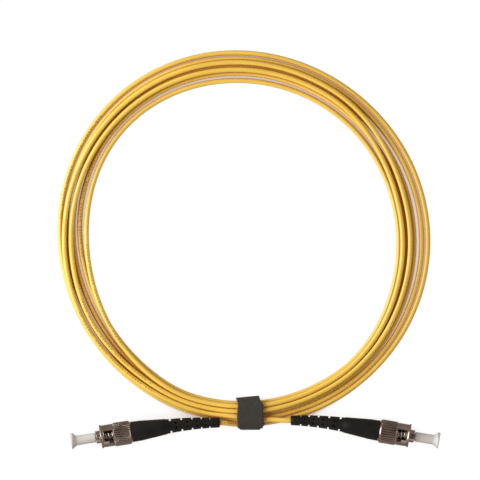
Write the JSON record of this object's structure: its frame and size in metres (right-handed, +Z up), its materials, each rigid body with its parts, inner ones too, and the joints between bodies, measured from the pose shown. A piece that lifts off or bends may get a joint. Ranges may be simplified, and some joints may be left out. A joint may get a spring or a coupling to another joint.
{
  "type": "fiber optic patch cord",
  "caption": "Coiled yellow simplex fibre patch cord with a bayonet connector, black boot and dust cap at each end, bundled with a hook-and-loop tie.",
  "frame": {"origin": "on the table under the middle of the whole cord: centre of the underside of its bounding box", "axes": "+Z up from the table the coil lies on, +Y from the connectors and tie towards the far side of the coil, +X towards the right connector"},
  "size_m": [0.1528, 0.1594, 0.0095],
  "materials": {
    "jacket_yellow_pvc": "satin extruded jacket",
    "aramid_yarn": "matte yarn",
    "buffer_white": "satin",
    "fiber_glass": "polished",
    "boot_black_rubber": "satin moulded",
    "nickel_plated_brass": "bright turned plating",
    "crimp_copper_alloy": "turned",
    "spring_steel": "drawn wire",
    "zirconia_ceramic": "polished",
    "cap_natural_plastic": "translucent moulded",
    "tie_loop_fabric": "woven loop pile",
    "tie_hook_nylon": "moulded hooks"
  },
  "bodies": {
    "cord": {"cable_jacket": "jacket_yellow_pvc", "aramid_yarn": "aramid_yarn", "tight_buffer": "buffer_white", "optical_fiber": "fiber_glass", "tie_band": "tie_loop_fabric", "left_strain_relief_boot": "boot_black_rubber", "left_crimp_sleeve": "crimp_copper_alloy", "left_connector_barrel": "nickel_plated_brass", "left_ferrule": "zirconia_ceramic", "left_retaining_ring": "spring_steel", "left_coupling_spring": "spring_steel", "right_strain_relief_boot": "boot_black_rubber", "right_crimp_sleeve": "crimp_copper_alloy", "right_connector_barrel": "nickel_plated_brass", "right_ferrule": "zirconia_ceramic", "right_retaining_ring": "spring_steel", "right_coupling_spring": "spring_steel"},
    "left_nut_carrier": {"left_thrust_washer": "spring_steel"},
    "left_nut": {"left_coupling_nut": "nickel_plated_brass"},
    "left_cap": {"left_dust_cap": "cap_natural_plastic"},
    "right_nut_carrier": {"right_thrust_washer": "spring_steel"},
    "right_nut": {"right_coupling_nut": "nickel_plated_brass"},
    "right_cap": {"right_dust_cap": "cap_natural_plastic"},
    "tie_free_end": {"tie_flap": "tie_loop_fabric", "tie_hook_patch": "tie_hook_nylon"}
  },
  "joints": [
    {"name": "left_nut_slide", "type": "slide", "parent": "cord", "child": "left_nut_carrier", "axis": [-0.9882, -0.153, 0], "range_m": [0, 0.0025], "deforming": ["left_coupling_spring"]},
    {"name": "left_nut_spin", "type": "hinge", "parent": "left_nut_carrier", "child": "left_nut", "pos_m": [-0.04725, -0.07282, 0.0048], "axis": [-0.9882, -0.153, 0], "continuous": true},
    {"name": "left_cap_pull", "type": "slide", "parent": "cord", "child": "left_cap", "axis": [-0.9882, -0.153, 0], "range_m": [0, 0.012]},
    {"name": "right_nut_slide", "type": "slide", "parent": "cord", "child": "right_nut_carrier", "axis": [0.9863, -0.165, 0], "range_m": [0, 0.0025], "deforming": ["right_coupling_spring"]},
    {"name": "right_nut_spin", "type": "hinge", "parent": "right_nut_carrier", "child": "right_nut", "pos_m": [0.05178, -0.07228, 0.0048], "axis": [0.9863, -0.165, 0], "continuous": true},
    {"name": "right_cap_pull", "type": "slide", "parent": "cord", "child": "right_cap", "axis": [0.9863, -0.165, 0], "range_m": [0, 0.012]},
    {"name": "tie_peel", "type": "hinge", "parent": "cord", "child": "tie_free_end", "pos_m": [0.00029, -0.07148, 0.00384], "axis": [1, 0, 0], "range_deg": [0, 130]}
  ]
}
